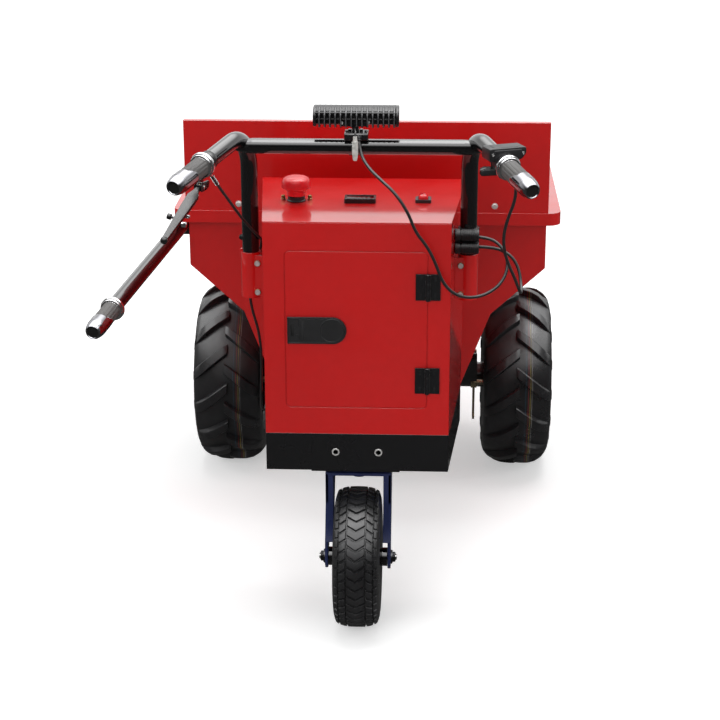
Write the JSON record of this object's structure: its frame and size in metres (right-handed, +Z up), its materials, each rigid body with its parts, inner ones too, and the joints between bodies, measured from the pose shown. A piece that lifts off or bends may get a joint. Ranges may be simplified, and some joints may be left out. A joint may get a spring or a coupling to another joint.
{
  "type": "electric concrete buggy",
  "caption": "Walk-behind powered tipping buggy: steel tub on two lugged drive wheels, rear cabinet on a caster, handlebar with controls.",
  "frame": {"origin": "bottom centre of the whole buggy's bounding box, on the ground", "axes": "+X to the operator's right, +Y forward towards the tub's nose, +Z up"},
  "size_m": [0.8566, 1.375, 0.96],
  "materials": {
    "red_paint": "gloss",
    "black_paint": "gloss",
    "blue_paint": "gloss",
    "rubber": "matt",
    "soft_rubber": "matt",
    "black_plastic": "satin",
    "gloss_plastic": "gloss",
    "red_plastic": "gloss",
    "clear_plastic": "satin",
    "zinc": "satin",
    "steel": "satin",
    "aluminium": "satin",
    "cast_grey": "satin",
    "glass": "clear"
  },
  "bodies": {
    "chassis": {"base_frame": "black_paint", "main_rails": "black_paint", "tub_pivot_pin": "steel", "axle_housing": "black_paint", "drive_motor": "cast_grey", "caster_top_plate": "blue_paint", "frame_fasteners": "zinc", "cabinet_shell": "red_paint", "cabinet_face_frame": "red_paint", "hinge_frame_leaves": "black_paint", "batteries": "gloss_plastic", "motor_controller": "aluminium", "e_stop_base": "black_plastic", "charge_gauge": "gloss_plastic", "switch_base": "black_plastic", "handle_sockets": "red_paint", "handle_tube_left": "black_paint", "handle_tube_right": "black_paint", "crossbar": "black_paint", "left_grip": "soft_rubber", "throttle_housing": "black_plastic", "brake_perch": "black_paint", "work_light_bracket": "black_paint", "cable_clip": "black_plastic", "throttle_cable": "soft_rubber", "brake_cable": "soft_rubber", "light_cable": "soft_rubber"},
    "left_wheel": {"left_hub_drum": "cast_grey", "left_rim": "black_paint", "left_tyre": "rubber"},
    "right_wheel": {"right_hub_drum": "cast_grey", "right_rim": "black_paint", "right_tyre": "rubber"},
    "left_brake": {"brake_arm_left": "zinc"},
    "right_brake": {"brake_arm_right": "zinc"},
    "caster_swivel": {"caster_fork": "blue_paint", "caster_axle": "zinc"},
    "caster_wheel": {"caster_rim": "black_paint", "caster_tyre": "rubber"},
    "door": {"cabinet_door": "red_paint", "hinge_door_leaves": "black_paint", "latch_body": "black_plastic"},
    "latch": {"latch_paddle": "black_plastic"},
    "e_stop": {"e_stop_button": "red_plastic"},
    "switch": {"switch_rocker": "red_plastic"},
    "throttle": {"throttle_grip": "soft_rubber"},
    "lever": {"brake_lever": "black_paint"},
    "work_light": {"work_light_housing": "aluminium", "work_light_lens": "glass", "light_connector": "clear_plastic"},
    "tub": {"tub_floor": "red_paint", "tub_rear_wall": "red_paint", "tub_front_wall": "red_paint", "tub_side_left": "red_paint", "tub_side_right": "red_paint", "tub_rim": "red_paint", "splash_panel": "red_paint", "tub_bolts": "zinc", "dump_handle_tube": "black_paint", "dump_handle_grip": "soft_rubber"}
  },
  "joints": [
    {"name": "tub_tip", "type": "hinge", "parent": "chassis", "child": "tub", "pos_m": [0.03928, 0.46548, 0.29], "axis": [-1, 0, 0], "range_deg": [0, 70]},
    {"name": "left_wheel_spin", "type": "hinge", "parent": "chassis", "child": "left_wheel", "pos_m": [-0.27472, 0.31548, 0.198], "axis": [1, 0, 0], "continuous": true},
    {"name": "right_wheel_spin", "type": "hinge", "parent": "chassis", "child": "right_wheel", "pos_m": [0.35328, 0.31548, 0.198], "axis": [1, 0, 0], "continuous": true},
    {"name": "left_brake_cam", "type": "hinge", "parent": "chassis", "child": "left_brake", "pos_m": [-0.18272, 0.26148, 0.198], "axis": [1, 0, 0], "range_deg": [0, 8]},
    {"name": "right_brake_cam", "type": "hinge", "parent": "chassis", "child": "right_brake", "pos_m": [0.26128, 0.26148, 0.198], "axis": [1, 0, 0], "range_deg": [0, 8]},
    {"name": "caster_turn", "type": "hinge", "parent": "chassis", "child": "caster_swivel", "pos_m": [0.03928, -0.44752, 0.29], "axis": [0, 0, 1], "continuous": true},
    {"name": "caster_wheel_spin", "type": "hinge", "parent": "caster_swivel", "child": "caster_wheel", "pos_m": [0.03928, -0.49752, 0.13], "axis": [1, 0, 0], "continuous": true},
    {"name": "door_swing", "type": "hinge", "parent": "chassis", "child": "door", "pos_m": [0.16248, -0.53712, 0.573], "axis": [0, 0, 1], "range_deg": [0, 110]},
    {"name": "latch_pull", "type": "hinge", "parent": "door", "child": "latch", "pos_m": [-0.06972, -0.53602, 0.578], "axis": [0, 0, -1], "range_deg": [0, 30], "stiffness_Nm_per_rad": 0.05},
    {"name": "e_stop_press", "type": "slide", "parent": "chassis", "child": "e_stop", "axis": [0, 0, -1], "range_m": [0, 0.004], "stiffness_N_per_m": 2000},
    {"name": "switch_rock", "type": "hinge", "parent": "chassis", "child": "switch", "pos_m": [0.15128, -0.38452, 0.7765], "axis": [1, 0, 0], "range_deg": [-8, 8]},
    {"name": "throttle_twist", "type": "hinge", "parent": "chassis", "child": "throttle", "pos_m": [0.32928, -0.68252, 0.866], "axis": [-0.3583, 0.9188, 0.1654], "range_deg": [0, 60], "stiffness_Nm_per_rad": 0.3},
    {"name": "lever_pull", "type": "hinge", "parent": "chassis", "child": "lever", "pos_m": [-0.22272, -0.56852, 0.842], "axis": [-0.9422, 0.2725, 0.195], "range_deg": [0, 24], "stiffness_Nm_per_rad": 2},
    {"name": "light_tilt", "type": "hinge", "parent": "chassis", "child": "work_light", "pos_m": [0.03428, -0.46252, 0.913], "axis": [1, 0, 0], "range_deg": [-30, 10]}
  ],
  "couplings": [
    {"joint": "left_brake_cam", "follows": "lever_pull", "ratio": 0.3333},
    {"joint": "right_brake_cam", "follows": "lever_pull", "ratio": 0.3333}
  ]
}
